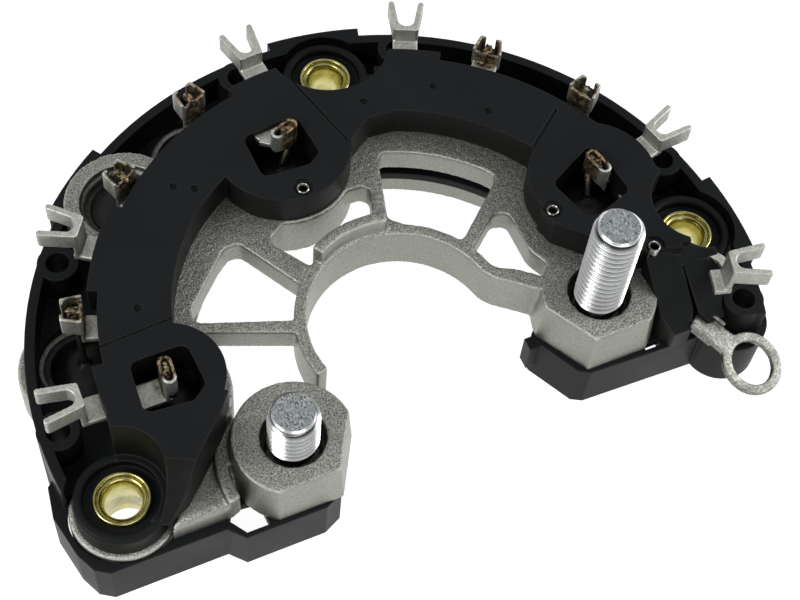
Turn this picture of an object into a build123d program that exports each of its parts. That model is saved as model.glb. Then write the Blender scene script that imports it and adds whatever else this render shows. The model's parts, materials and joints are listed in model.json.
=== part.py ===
from build123d import *
import math
import os

os.makedirs("parts", exist_ok=True)

# Frame: origin on the hub axis at the underside of the insulating base, X along the open front edge,
# Y towards the closed back of the crescent, Z up. All sizes in millimetres, angles in degrees.

# Heights of the layers
FIN_Z = 2.0
NEG_PLATE_Z = 4.0
NEG_TOP_Z = 8.0
NEG_BOSS_Z = 1.0
NEG_LUG_TOP_Z = 10.5
FLOOR_THICKNESS = 1.6
FLOOR_TOP_Z = NEG_TOP_Z + FLOOR_THICKNESS
RIM_TOP_Z = 15.6
POS_PLATE_Z = 13.7
POS_TOP_Z = 18.2
POS_FOOT_TOP_Z = 14.0
RAISED_TOP_Z = 21.2
COVER_TOP_Z = 24.0
COLLAR_TOP_Z = 14.6
COLLAR_FLOOR_Z = 13.0
LOWER_STRIP_Z = 19.4
UPPER_STRIP_Z = 21.9
STRIP_THICKNESS = 1.0
CRIMP_TOP_Z = 26.0
FORK_TOP_Z = 25.8

# Radii about the hub axis
HUB_BORE_R = 15.2
HUB_OUTER_R = 17.2
NEG_INNER_R = 33.6
NEG_OUTER_R = 57.6
POS_OUTER_R = 44.6
FLOOR_INNER_R = 33.2
RIM_OUTER_R = 58.7
RIM_STEP_R = 60.3
RIM_WALL = 1.6
COVER_OUTER_R = 46.9
COVER_INNER_R = 35.7
COVER_STEP_R = 48.6
SKIRT_INNER_R = 45.1
DIODE_CIRCLE_R = 50.1
GUIDE_CIRCLE_R = 55.6
BUSH_CIRCLE_R = 51.4
STRIP_R = 44.9

# Diodes
CUP_R = 6.4
CUP_WALL = 0.9
CUP_HEIGHT = 5.6
CUP_FLOOR = 2.0
POT_TOP_R = 3.2
POT_DOME = 1.5
LEAD_R = 0.55
LEAD_HEAD_R = 1.9
LEAD_HEAD = 0.5
LEAD_BEND_LOW_Z = 18.4
LEAD_BEND_HIGH_Z = 21.2
LEAD_TOP_Z = 25.3
NEG_CUP_Z = 2.0
POS_CUP_Z = 10.4
NEG_BOSS_R = 10.6
POS_BOSS_R = 9.6
POS_INNER_BOSS_R = 11.7
BOSS_CLEARANCE = 0.25
CUP_CLEARANCE = 0.2
BORE_RELIEF_STEP = 0.6
BORE_RELIEF_R = CUP_R + BORE_RELIEF_STEP
BORE_RELIEF = 1.2

# Studs, bushes, rivets
STUD_R = 4.0
STUD_END_CHAMFER = 0.8
STUD_SHANK_STEP = 0.4
STUD_SHANK_R = STUD_R + STUD_SHANK_STEP
STUD_BASE_Z = 11.6
STUD_LONG_TOP_Z = 37.0
STUD_SHORT_TOP_Z = 26.1
COUNTERBORE_GAP = 1.0
COUNTERBORE_R = STUD_R + COUNTERBORE_GAP
COUNTERBORE_Z = 15.3
BOSS_LEFT_R = 9.4
BOSS_RIGHT_R = 9.3
BOSS_FLAT = 7.75
BOSS_DRAFT = 5.0
BUSH_FLANGE = 1.2
BUSH_BODY_R = 3.8
BUSH_FLANGE_WIDTH = 0.65
BUSH_FLANGE_R = BUSH_BODY_R + BUSH_FLANGE_WIDTH
BUSH_BORE_R = 2.8
BUSH_CLEARANCE = 0.1
LUG_R = {"left": 8.3, "top": 7.7, "right": 7.7}
LUG_CLEARANCE = 0.2
COLLAR_R = 7.4
COLLAR_POCKET_R = 5.8
COLLAR_EDGE = 0.7
POCKET_R = {"left": 6.9, "top": 7.7, "right": 7.7}
TOP_RECESS_R = 10.4
TOP_RECESS_Z = 19.4
POS_BUSH_GAP_R = 8.8
RIVET_R = 1.15
RIVET_FLANGE_R = 1.4
RIVET_HOLE_R = 0.75
RIVET_BASE_Z = 15.0
RIVET_RECESS = 0.5
GUIDE_R = 3.3
GUIDE_HOLE_R = 1.9
GUIDE_CLEARANCE = 0.3

# Strips
STRIP_WIDTH = 2.3
NARROW_WIDTH = 1.4
TAB_WIDTH = 4.2
SHORT_TAB_WIDTH = 3.2
FORK_WALL_R = 51.7
FORK_TIP_R = 57.0
FORK_HALF = 1.6
FORK_TIP_HALF = 2.5
FORK_PRONG_Z = 22.6
FORK_THICKNESS = 1.0
CRIMP_THICKNESS = 0.5
CRIMP_GAP = 0.05
CRIMP_Z = 22.0
EAR_WIDTH = 4.4
EAR_REACH = 1.9


def at(radius, angle):
    a = math.radians(angle)
    return (radius * math.cos(a), radius * math.sin(a))


def shifted(point, distance, angle):
    step = at(distance, angle)
    return (point[0] + step[0], point[1] + step[1])


UPWARD = (Align.CENTER, Align.CENTER, Align.MIN)


def disc(centre, radius, low, high):
    body = Cylinder(radius, high - low, align=UPWARD)
    return Pos(centre[0], centre[1], low) * body


def prism(points, low, high):
    face = make_face(Polyline(*points, close=True))
    return Pos(0, 0, low) * extrude(face, amount=high - low, dir=(0, 0, 1))


def soft_prism(points, radius, low, high):
    body = prism(points, low, high)
    return fillet(body.edges().filter_by(Axis.Z), radius)


def sector(inner, outer, start, end, low, high):
    middle = 0.5 * (start + end)
    first = Line(at(inner, start), at(outer, start))
    rim = ThreePointArc(at(outer, start), at(outer, middle), at(outer, end))
    last = Line(at(outer, end), at(inner, end))
    bore = ThreePointArc(at(inner, end), at(inner, middle), at(inner, start))
    face = make_face([first, rim, last, bore])
    return Pos(0, 0, low) * extrude(face, amount=high - low, dir=(0, 0, 1))


def bar(start, end, width, low, high):
    dx = end[0] - start[0]
    dy = end[1] - start[1]
    length = math.hypot(dx, dy)
    turn = math.degrees(math.atan2(dy, dx))
    box = Box(length, width, high - low, align=UPWARD)
    middle = (0.5 * (start[0] + end[0]), 0.5 * (start[1] + end[1]))
    return Pos(middle[0], middle[1], low) * Rot(0, 0, turn) * box


def path_strip(points, width, low, high):
    body = disc(points[0], width / 2, low, high)
    for start, end in zip(points[:-1], points[1:]):
        body += bar(start, end, width, low, high)
        body += disc(end, width / 2, low, high)
    return body


# Places of the parts in plan
BUSHES = {"left": at(BUSH_CIRCLE_R, 192.2), "top": at(BUSH_CIRCLE_R, 81.0), "right": at(BUSH_CIRCLE_R, -0.9)}
STUD_LONG = (30.7, -7.6)
STUD_SHORT = (-23.9, -12.9)
NEG_DIODES = {
    "1": at(DIODE_CIRCLE_R, 162.0),
    "2": at(DIODE_CIRCLE_R, 110.8),
    "3": at(DIODE_CIRCLE_R, 50.0),
    "4": at(DIODE_CIRCLE_R, 29.7),
}
POS_DIODES = {"1": (-38.4, 0.9), "2": (-33.2, 36.4), "3": (-6.8, 33.8), "4": (37.5, 9.7)}
GUIDE_ANGLES = [177.5, 146.5, 96.5, 67.0, 13.5, -17.0]
RIVETS = [(-7.0, 24.6), (28.4, 6.1), (40.4, -6.0)]
FOOT_LOBE = (52.3, -16.2)
FOOT_LOBE_R = 6.1

# Negative heat sink
FIN_WIDTH = 1.4
FIN_ANGLES = [
    62.0, 70.0, 92.0, 100.0, 122.0, 130.0, 138.0, 146.0, 176.0, 184.0, 10.0, 16.0,
]
negative = sector(NEG_INNER_R, NEG_OUTER_R, -12.0, 197.0, NEG_PLATE_Z, NEG_TOP_Z)
for angle in FIN_ANGLES:
    negative += bar(at(NEG_INNER_R + 2.5, angle), at(NEG_OUTER_R - 2.5, angle), FIN_WIDTH, FIN_Z, NEG_PLATE_Z)
for centre in NEG_DIODES.values():
    negative += disc(centre, NEG_BOSS_R, NEG_BOSS_Z, NEG_TOP_Z)
for key, centre in BUSHES.items():
    negative += disc(centre, LUG_R[key], FIN_Z, NEG_LUG_TOP_Z)
for centre in NEG_DIODES.values():
    negative -= disc(centre, CUP_R, NEG_CUP_Z, NEG_TOP_Z)
    negative -= disc(centre, CUP_R - 1.4, 0.0, NEG_CUP_Z)
for centre in BUSHES.values():
    negative -= disc(centre, BUSH_BODY_R + BUSH_CLEARANCE, 0.0, NEG_LUG_TOP_Z)
for angle in GUIDE_ANGLES:
    negative -= disc(at(GUIDE_CIRCLE_R, angle), GUIDE_R + GUIDE_CLEARANCE, 0.0, NEG_TOP_Z)

# Insulating base
SKIRT_LEFT = [
    (-59.6, -3.0), (-60.4, -8.0), (-59.0, -15.0), (-57.5, -18.2), (-55.4, -19.6),
    (-37.2, -19.6), (-35.0, -22.0), (-22.0, -22.0), (-19.0, -20.6), (-17.9, -17.2),
]
SKIRT_RIGHT = [
    (20.3, -6.6), (20.4, -8.0), (24.4, -15.6), (26.2, -16.6), (47.0, -17.3),
]
SKIRT_WALL = 1.2
FLOOR_LEFT = SKIRT_LEFT + [
    (-17.9, -12.0), (-25.0, -6.5), (-32.0, -7.2), (-36.0, -2.0), (-36.0, 4.0), (-52.0, 4.0),
]
FLOOR_RIGHT = SKIRT_RIGHT + [
    (52.0, -10.0), (52.0, 4.0), (34.0, 4.0), (33.0, -1.0), (26.0, -1.0), (22.4, -4.5),
]


def skirt_wall(path, outline, wall, low, high):
    # the band along the outline keeps only its inner half
    return path_strip(path, 2 * wall, low, high) & prism(outline, low, high)


base = sector(FLOOR_INNER_R, RIM_OUTER_R, -14.0, 190.0, NEG_TOP_Z, FLOOR_TOP_Z)
base += prism(FLOOR_LEFT, NEG_TOP_Z, FLOOR_TOP_Z)
base += prism(FLOOR_RIGHT, NEG_TOP_Z, FLOOR_TOP_Z)
base += sector(RIM_OUTER_R - RIM_WALL, RIM_OUTER_R, -20.0, 187.0, NEG_TOP_Z, RIM_TOP_Z)
RIM_STEPS = [(124.5, 138.0), (73.5, 89.0), (-9.0, 6.5)]
for start, end in RIM_STEPS:
    base += sector(RIM_OUTER_R - RIM_WALL, RIM_STEP_R, start, end, NEG_TOP_Z, RIM_TOP_Z)
base += skirt_wall(SKIRT_LEFT, FLOOR_LEFT, SKIRT_WALL, 0.0, FLOOR_TOP_Z)
base += skirt_wall(SKIRT_RIGHT, FLOOR_RIGHT, SKIRT_WALL, 0.0, FLOOR_TOP_Z)
base += disc(FOOT_LOBE, FOOT_LOBE_R, NEG_TOP_Z, FLOOR_TOP_Z)
lobe_wall = disc(FOOT_LOBE, FOOT_LOBE_R, 0.0, FLOOR_TOP_Z)
lobe_wall -= disc(FOOT_LOBE, FOOT_LOBE_R - SKIRT_WALL, 0.0, NEG_TOP_Z)
base += lobe_wall
for angle in GUIDE_ANGLES:
    base += disc(at(GUIDE_CIRCLE_R, angle), GUIDE_R, 0.0, RIM_TOP_Z)
HOOK_Z = 3.5
HOOK_WIDTH = 2.2
base += bar((20.0, -9.1), (20.0, -6.9), HOOK_WIDTH, HOOK_Z, FLOOR_TOP_Z)
for angle in GUIDE_ANGLES:
    base -= disc(at(GUIDE_CIRCLE_R, angle), GUIDE_HOLE_R, 0.0, RIM_TOP_Z)
for centre in NEG_DIODES.values():
    base -= disc(centre, BORE_RELIEF_R + CUP_CLEARANCE, 0.0, FLOOR_TOP_Z)
for key, centre in BUSHES.items():
    base -= disc(centre, LUG_R[key] + LUG_CLEARANCE, 0.0, RIM_TOP_Z + 1)
base -= disc(POS_DIODES["2"], POS_BOSS_R + BOSS_CLEARANCE, FLOOR_TOP_Z, RIM_TOP_Z + 1)
for centre in POS_DIODES.values():
    base -= disc(centre, CUP_R - 1.0, 0.0, FLOOR_TOP_Z)
GAP_LEFT = [(-36.4, -18.5), (-34.6, -21.2), (-31.0, -21.2), (-31.2, -17.0), (-35.2, -16.6)]
GAP_RIGHT = [(36.4, -15.2), (36.4, -16.2), (39.0, -16.2), (39.0, -15.2)]
base -= prism(GAP_LEFT, -1.0, RIM_TOP_Z)
base -= prism(GAP_RIGHT, -1.0, RIM_TOP_Z)
base -= negative

# Positive heat sink
WINDOW_LEFT = [(-30.6, 10.9), (-30.2, 13.4), (-21.6, 21.9), (-19.0, 21.9), (-11.0, 8.0), (-14.0, 4.9)]
WINDOW_BANANA = [(-14.6, 20.6), (-9.0, 12.4), (4.4, 14.0), (3.2, 19.6), (5.0, 25.0), (-8.0, 25.0)]
WINDOW_TOP_SIDES = [(5.0, 17.6), (9.6, 33.3), (27.5, 28.0), (27.5, 20.6), (14.4, 9.2)]
WINDOW_RIGHT = [(14.2, 6.2), (21.2, 12.0), (23.8, 11.4), (23.8, 3.4), (25.6, -0.4), (20.4, -3.6), (15.0, 1.0)]
WINDOW_LOW = [(-30.6, 9.0), (-14.0, 2.3), (-16.0, -6.0), (-22.0, -2.0), (-33.0, -8.0), (-33.0, 5.0)]
FOOT_LEFT = [
    (-31.0, -4.0), (-44.0, -2.0), (-46.0, -9.0), (-45.2, -18.2),
    (-35.4, -18.2), (-34.2, -13.5), (-31.6, -8.0),
]
FOOT_EDGE = 1.2
PLATE_RIGHT = [(23.6, -0.6), (30.0, -7.0), (38.0, -9.0), (43.6, -9.0), (44.0, 6.0), (30.0, 12.0), (23.8, 3.4)]
WEB_START = 14.0
WEB_INNER = [(18.2, -0.6), (21.9, -3.6)]
WEB_OUTER = [(19.9, 1.4), (23.9, -1.8)]
WEB_END_TANGENT = (0.78, -0.62)
RIB_CENTRE = (-21.5, -15.2)
RIB_IN_R = 12.9
RIB_OUT_R = 14.9
RIB_START = 132.0
RIB_END = 191.5
RIB_TOP_Z = 15.3
WINDOW_EDGE_R = 1.5
WINDOW_OUTER_R = 31.4
RAISED_IN_R = 15.9
RAISED_OUT_R = 17.9

positive = sector(HUB_BORE_R, POS_OUTER_R, 4.0, 188.0, POS_PLATE_Z, POS_TOP_Z)
positive += prism(PLATE_RIGHT, POS_PLATE_Z, POS_TOP_Z)
top_window = prism(WINDOW_TOP_SIDES, 0.0, 30.0) & disc((0, 0), WINDOW_OUTER_R, 0.0, 30.0)
for points in (WINDOW_LEFT, WINDOW_BANANA, WINDOW_RIGHT, WINDOW_LOW):
    positive -= soft_prism(points, WINDOW_EDGE_R, 0.0, 30.0)
positive -= fillet(top_window.edges().filter_by(Axis.Z), WINDOW_EDGE_R)
positive -= sector(HUB_OUTER_R, POS_OUTER_R + 1, 181.0, 189.0, 0.0, 30.0)
positive += sector(HUB_BORE_R, HUB_OUTER_R, WEB_START, 196.0, FLOOR_TOP_Z, POS_TOP_Z)
positive += sector(RAISED_IN_R, RAISED_OUT_R, 76.0, 121.0, POS_PLATE_Z, RAISED_TOP_Z)

# Curved web that carries the hub ring on to the right stud boss
ring_heading = at(1.0, WEB_START - 90.0)
inner_side = Spline(at(HUB_BORE_R, WEB_START), *WEB_INNER, tangents=(ring_heading, WEB_END_TANGENT))
outer_side = Spline(at(HUB_OUTER_R, WEB_START), *WEB_OUTER, tangents=(ring_heading, WEB_END_TANGENT))
web_root = Line(at(HUB_BORE_R, WEB_START), at(HUB_OUTER_R, WEB_START))
web_end = Line(WEB_INNER[-1], WEB_OUTER[-1])
web_face = make_face([inner_side, web_end, outer_side, web_root])
positive += Pos(0, 0, FLOOR_TOP_Z) * extrude(web_face, amount=POS_TOP_Z - FLOOR_TOP_Z, dir=(0, 0, 1))

foot = prism(FOOT_LEFT, FLOOR_TOP_Z, POS_FOOT_TOP_Z)
foot_front = foot.edges().filter_by(Axis.X).group_by(Axis.Z)[-1].sort_by(Axis.Y)[0]
positive += fillet(foot_front, FOOT_EDGE)


def stud_boss(centre, radius, flat_angles):
    height = POS_TOP_Z - FLOOR_TOP_Z
    flare = height * math.tan(math.radians(BOSS_DRAFT))
    cone = Cone(radius + flare, radius, height, align=UPWARD)
    body = Pos(centre[0], centre[1], FLOOR_TOP_Z) * cone
    for angle in flat_angles:
        face_point = shifted(centre, BOSS_FLAT, angle)
        cut = Pos(10.0, 0, 0) * Box(20.0, 40.0, 60.0)
        place = Pos(face_point[0], face_point[1], POS_TOP_Z) * Rot(0, 0, angle) * Rot(0, -BOSS_DRAFT, 0)
        body -= place * cut
    return body


positive += stud_boss(STUD_SHORT, BOSS_LEFT_R, (-90.0, -30.0))
positive += stud_boss(STUD_LONG, BOSS_RIGHT_R, (-90.0, -150.0))
rib = sector(RIB_IN_R, RIB_OUT_R, RIB_START, RIB_END, FLOOR_TOP_Z, RIB_TOP_Z)
positive += Pos(RIB_CENTRE[0], RIB_CENTRE[1], 0) * rib
for key, centre in POS_DIODES.items():
    radius = POS_BOSS_R if key in ("1", "2") else POS_INNER_BOSS_R
    positive += disc(centre, radius, FLOOR_TOP_Z, POS_TOP_Z)
for centre in POS_DIODES.values():
    positive -= disc(centre, CUP_R, POS_CUP_Z, POS_TOP_Z)
    positive -= disc(centre, CUP_R - 1.2, 0.0, POS_CUP_Z)
    positive -= disc(centre, BORE_RELIEF_R, POS_TOP_Z - BORE_RELIEF, POS_TOP_Z + 5)
for centre in BUSHES.values():
    positive -= disc(centre, POS_BUSH_GAP_R, 0.0, 40.0)
for centre in (STUD_SHORT, STUD_LONG):
    positive -= disc(centre, COUNTERBORE_R, COUNTERBORE_Z, 40.0)
    positive -= disc(centre, STUD_SHANK_R, STUD_BASE_Z, 40.0)
for centre in RIVETS:
    positive -= disc(centre, RIVET_R, RIVET_BASE_Z, 40.0)


# Conductor strips
def fork(angle, tab_z):
    root = at(STRIP_R, angle)
    body = bar(root, at(FORK_WALL_R + FORK_THICKNESS / 2, angle), TAB_WIDTH, tab_z, tab_z + STRIP_THICKNESS)
    side = at(1.0, angle + 90)

    def place(radius, half):
        foot = at(radius, angle)
        return (foot[0] + half * side[0], foot[1] + half * side[1])

    wall_left = place(FORK_WALL_R, FORK_HALF)
    wall_right = place(FORK_WALL_R, -FORK_HALF)
    body += bar(wall_left, wall_right, FORK_THICKNESS, tab_z, FORK_TOP_Z)
    for sign in (1, -1):
        start = place(FORK_WALL_R, sign * FORK_HALF)
        tip = place(FORK_TIP_R, sign * FORK_TIP_HALF)
        body += bar(start, tip, FORK_THICKNESS, FORK_PRONG_Z, FORK_TOP_Z)
        body += disc(start, FORK_THICKNESS / 2, tab_z, FORK_TOP_Z)
        body += disc(tip, FORK_THICKNESS / 2, FORK_PRONG_Z, FORK_TOP_Z)
    return body


def ear_crimp(centre, tab_angle, reach, tab_z):
    # upright end of the tab with two ears closed towards the lead; tab_angle points back along the tab
    along = at(1.0, tab_angle)
    side = at(1.0, tab_angle + 90)

    def place(back, half):
        return (
            centre[0] + back * along[0] + half * side[0],
            centre[1] + back * along[1] + half * side[1],
        )

    wall_back = LEAD_R + CRIMP_GAP + CRIMP_THICKNESS / 2
    half = EAR_WIDTH / 2
    body = bar(place(wall_back, 0), place(reach, 0), TAB_WIDTH, tab_z, tab_z + STRIP_THICKNESS)
    body += bar(place(wall_back, -half), place(wall_back, half), CRIMP_THICKNESS, tab_z, CRIMP_TOP_Z - 0.8)
    for sign in (1, -1):
        corner = place(wall_back, sign * half)
        tip = place(-EAR_REACH, sign * (half - 0.5))
        hook = place(-EAR_REACH, sign * (LEAD_R + 0.5))
        for start, end in ((corner, tip), (tip, hook)):
            body += bar(start, end, CRIMP_THICKNESS, CRIMP_Z, CRIMP_TOP_Z)
            body += disc(start, CRIMP_THICKNESS / 2, CRIMP_Z, CRIMP_TOP_Z)
        body += disc(hook, CRIMP_THICKNESS / 2, CRIMP_Z, CRIMP_TOP_Z)
    return body


def hairpin_crimp(lead, end, root, width, tab_z):
    # narrow upright loop folded round the lead, carried on the side of a flat tab
    inner = 2 * (LEAD_R + CRIMP_GAP)
    outer = inner + 2 * CRIMP_THICKNESS
    loop = path_strip([lead, end], outer, CRIMP_Z, CRIMP_TOP_Z)
    middle = (0.5 * (lead[0] + end[0]), 0.5 * (lead[1] + end[1]))
    tab = bar(middle, root, width, tab_z, tab_z + STRIP_THICKNESS)
    heel = path_strip([lead, end], outer, tab_z, CRIMP_Z)
    towards = math.degrees(math.atan2(root[1] - middle[1], root[0] - middle[0]))
    far_side = shifted(middle, 10.0 - inner / 2, towards + 180.0)
    heel -= Pos(far_side[0], far_side[1], tab_z) * Rot(0, 0, towards) * Box(20.0, 20.0, 20.0)
    return loop + tab + heel - path_strip([lead, end], inner, 0.0, 40.0)


def arc_strip(start, end, tab_z):
    inner = STRIP_R - STRIP_WIDTH / 2
    outer = STRIP_R + STRIP_WIDTH / 2
    return sector(inner, outer, start, end, tab_z, tab_z + STRIP_THICKNESS)


LOW = LOWER_STRIP_Z
HIGH = UPPER_STRIP_Z
EAR_TAB_REACH = 5.4
# where each lead of a covered positive diode stands in its loop, and the far end of that loop
LOOPS = {
    "1": ((-38.3, 2.0), (-38.5, -0.6)),
    "3": ((-4.7, 35.6), (-7.3, 34.7)),
    "4": ((38.4, 12.2), (39.1, 9.3)),
}
strip_u = arc_strip(161.0, 180.5, LOW)
strip_u += fork(178.2, LOW)
strip_u += ear_crimp(NEG_DIODES["1"], -18.0, EAR_TAB_REACH, LOW)
strip_u += hairpin_crimp(*LOOPS["1"], (-44.6, 0.7), TAB_WIDTH, LOW)

strip_v = arc_strip(109.5, 147.0, LOW)
strip_v += fork(145.3, LOW)
strip_v += ear_crimp(NEG_DIODES["2"], -70.0, EAR_TAB_REACH, LOW)
strip_v += ear_crimp(POS_DIODES["2"], -60.0, EAR_TAB_REACH, LOW)

W_PATH = [
    (42.6, 12.0), (42.1, 6.0), (41.8, 0.0), (42.9, -5.8),
    (44.6, -8.4), (50.0, -8.9), (51.0, -10.4), (51.0, -13.6),
]
strip_w = arc_strip(13.5, 31.5, LOW)
strip_w += path_strip(W_PATH, NARROW_WIDTH, LOW, LOW + STRIP_THICKNESS)
strip_w += ear_crimp(NEG_DIODES["4"], -150.3, EAR_TAB_REACH, LOW)
strip_w += hairpin_crimp(*LOOPS["4"], (42.8, 11.6), SHORT_TAB_WIDTH, LOW)
w_fork = fork(-16.0, LOW)
w_fork -= disc((0, 0), FORK_WALL_R - 2.2, 0.0, 40.0)
strip_w += w_fork

# the star strip turns inwards round the recess of the top bush
STAR_DETOUR_R = 38.4
STAR_DETOUR = [
    at(STRIP_R, 68.0), at(41.4, 70.5), at(STAR_DETOUR_R + 0.5, 74.5), at(STAR_DETOUR_R, 81.0),
    at(STAR_DETOUR_R + 0.5, 87.5), at(41.4, 91.5), at(STRIP_R, 94.0),
]
strip_star = arc_strip(12.0, 68.5, HIGH)
strip_star += arc_strip(93.5, 104.0, HIGH)
strip_star += path_strip(STAR_DETOUR, STRIP_WIDTH, HIGH, HIGH + STRIP_THICKNESS)
for angle in (96.0, 66.0, 14.0):
    strip_star += fork(angle, HIGH)
strip_star += ear_crimp(NEG_DIODES["3"], -130.0, EAR_TAB_REACH, HIGH)
STAR_BAR_TOP = at(STRIP_R, 102.6)
STAR_BAR_END = (-9.0, 37.4)
strip_star += path_strip([STAR_BAR_TOP, STAR_BAR_END], STRIP_WIDTH, HIGH, HIGH + STRIP_THICKNESS)
strip_star += hairpin_crimp(*LOOPS["3"], STAR_BAR_END, SHORT_TAB_WIDTH, HIGH)

# Terminal carrier
cover_body = sector(COVER_INNER_R, COVER_OUTER_R, -9.0, 190.0, POS_TOP_Z, COVER_TOP_Z)
COVER_STEPS = [(91.5, 103.0), (59.0, 72.0), (4.0, 20.0), (138.0, 157.0), (172.5, 187.0)]
for start, end in COVER_STEPS:
    cover_body += sector(SKIRT_INNER_R, COVER_STEP_R, start, end, POS_TOP_Z, COVER_TOP_Z)
for start, end in ((2.0, 120.5), (145.5, 188.0)):
    cover_body += sector(SKIRT_INNER_R, COVER_OUTER_R, start, end, FLOOR_TOP_Z, POS_TOP_Z)
LOBE_LEFT_R = 8.8
LOBE_TOP_R = 11.2
LOBE_RIGHT_R = 10.6
cover_body += disc(POS_DIODES["1"], LOBE_LEFT_R, POS_TOP_Z, COVER_TOP_Z)
cover_body += disc(POS_DIODES["3"], LOBE_TOP_R, POS_TOP_Z, COVER_TOP_Z)
cover_body += disc(POS_DIODES["4"], LOBE_RIGHT_R, POS_TOP_Z, COVER_TOP_Z)
COVER_TOP_FILL = [(3.0, 30.0), (8.5, 33.6), (13.5, 33.2), (10.0, 38.0), (2.0, 38.0)]
COVER_LEFT_FILL = [
    (-31.0, -5.0), (-33.4, -8.0), (-41.6, -15.8), (-45.2, -17.6), (-50.2, -17.8), (-48.8, -2.0), (-40.0, 3.0),
]
TAIL_CREASE = [(-43.4, -11.6), (-39.2, -13.8)]
TAIL_LOW_Z = 15.3
COVER_RIGHT_FILL = [
    (26.7, 7.0), (27.4, 3.6), (31.8, -0.8), (38.6, -6.0), (44.5, -8.0), (44.5, 6.0), (36.0, 12.0),
]
cover_body += prism(COVER_TOP_FILL, POS_TOP_Z, COVER_TOP_Z)
cover_body += prism(COVER_LEFT_FILL, POS_TOP_Z, COVER_TOP_Z)
cover_body += prism(COVER_LEFT_FILL, POS_FOOT_TOP_Z, POS_TOP_Z)
cover_body += prism(COVER_RIGHT_FILL, POS_TOP_Z, COVER_TOP_Z)

# the left tail of the cover slopes from a crease down to the rim of the bush collar
tail_heading = math.degrees(
    math.atan2(TAIL_CREASE[1][1] - TAIL_CREASE[0][1], TAIL_CREASE[1][0] - TAIL_CREASE[0][0])
)
tail_drop = COVER_TOP_Z - TAIL_LOW_Z
TAIL_LENGTH = 5.4
tail_angle = math.degrees(math.atan2(tail_drop, TAIL_LENGTH))
tail_cut = Pos(0, -15.0, 10.0) * Box(60.0, 30.0, 20.0)
crease_middle = (
    0.5 * (TAIL_CREASE[0][0] + TAIL_CREASE[1][0]),
    0.5 * (TAIL_CREASE[0][1] + TAIL_CREASE[1][1]),
    COVER_TOP_Z,
)
cover_body -= Pos(*crease_middle) * Rot(0, 0, tail_heading) * Rot(tail_angle, 0, 0) * tail_cut

# Sloping right end with the long ridge and the round end lobe
END_LOBE = [(38.6, -7.0), (38.7, -14.6), (40.2, -17.3), (43.4, -17.3), (44.4, -15.0), (44.4, -7.0)]
RIDGE = [
    (44.2, -5.0), (45.3, -15.6), (46.6, -17.3), (49.4, -17.2),
    (50.7, -15.4), (50.9, -9.0), (50.3, -7.2), (46.0, -5.0),
]
VALLEY_DEPTH = 2.4
RAMP_BACK_Y = -5.3
RAMP_FRONT_Y = -17.4
RAMP_FRONT_Z = 13.6
ramp_slope = (COVER_TOP_Z - RAMP_FRONT_Z) / (RAMP_BACK_Y - RAMP_FRONT_Y)
END_LOW_Z = FLOOR_TOP_Z


def under_ramp(points, drop):
    body = prism(points, END_LOW_Z, COVER_TOP_Z)
    back = RAMP_BACK_Y + 12.0
    front = RAMP_FRONT_Y - 6.0
    side = [
        (RAMP_BACK_Y, COVER_TOP_Z - drop),
        (front, RAMP_FRONT_Z - drop - 6.0 * ramp_slope),
        (front, COVER_TOP_Z + 4),
        (back, COVER_TOP_Z + 4),
        (back, COVER_TOP_Z - drop),
    ]
    cut_face = make_face(Plane.YZ * Polyline(*side, close=True))
    cut = Pos(25, 0, 0) * extrude(cut_face, amount=40, dir=(1, 0, 0))
    return body - cut


VALLEY = [(43.8, -6.0), (43.8, -16.4), (45.8, -16.4), (46.0, -6.0)]
cover_body += under_ramp(END_LOBE, 0.0)
cover_body += under_ramp(RIDGE, 0.0)
cover_body += under_ramp(VALLEY, VALLEY_DEPTH)

# Pockets, collars, windows
WINDOW_CORNER_R = 1.4
COVER_WINDOW_LEFT = [(-43.0, 4.8), (-34.0, 4.8), (-33.6, -2.6), (-36.2, -4.6), (-43.6, -3.9)]
COVER_WINDOW_TOP = [(-12.4, 37.2), (-2.8, 38.2), (-1.9, 30.0), (-4.4, 28.4), (-12.2, 28.6)]
COVER_WINDOW_RIGHT = [(30.6, 10.6), (32.8, 2.9), (35.0, 2.6), (41.7, 4.8), (40.6, 14.4), (38.8, 14.8)]
for points in (COVER_WINDOW_LEFT, COVER_WINDOW_TOP, COVER_WINDOW_RIGHT):
    cover_body -= soft_prism(points, WINDOW_CORNER_R, 0.0, COVER_TOP_Z + 3)
for key, centre in BUSHES.items():
    cover_body -= disc(centre, POCKET_R[key], COLLAR_TOP_Z, COVER_TOP_Z + 3)
cover_body -= disc(BUSHES["top"], TOP_RECESS_R, TOP_RECESS_Z, COVER_TOP_Z + 3)
for key, centre in BUSHES.items():
    collar = Cylinder(COLLAR_R, COLLAR_TOP_Z - NEG_LUG_TOP_Z, align=UPWARD)
    pocket = Cylinder(COLLAR_POCKET_R, COLLAR_TOP_Z - COLLAR_FLOOR_Z, align=UPWARD)
    collar -= Pos(0, 0, COLLAR_FLOOR_Z - NEG_LUG_TOP_Z) * pocket
    collar = fillet(collar.edges().group_by(Axis.Z)[-1], COLLAR_EDGE)
    cover_body += Pos(centre[0], centre[1], NEG_LUG_TOP_Z) * collar
    cover_body -= disc(centre, LUG_R[key] + LUG_CLEARANCE, 0.0, NEG_LUG_TOP_Z)
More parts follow.
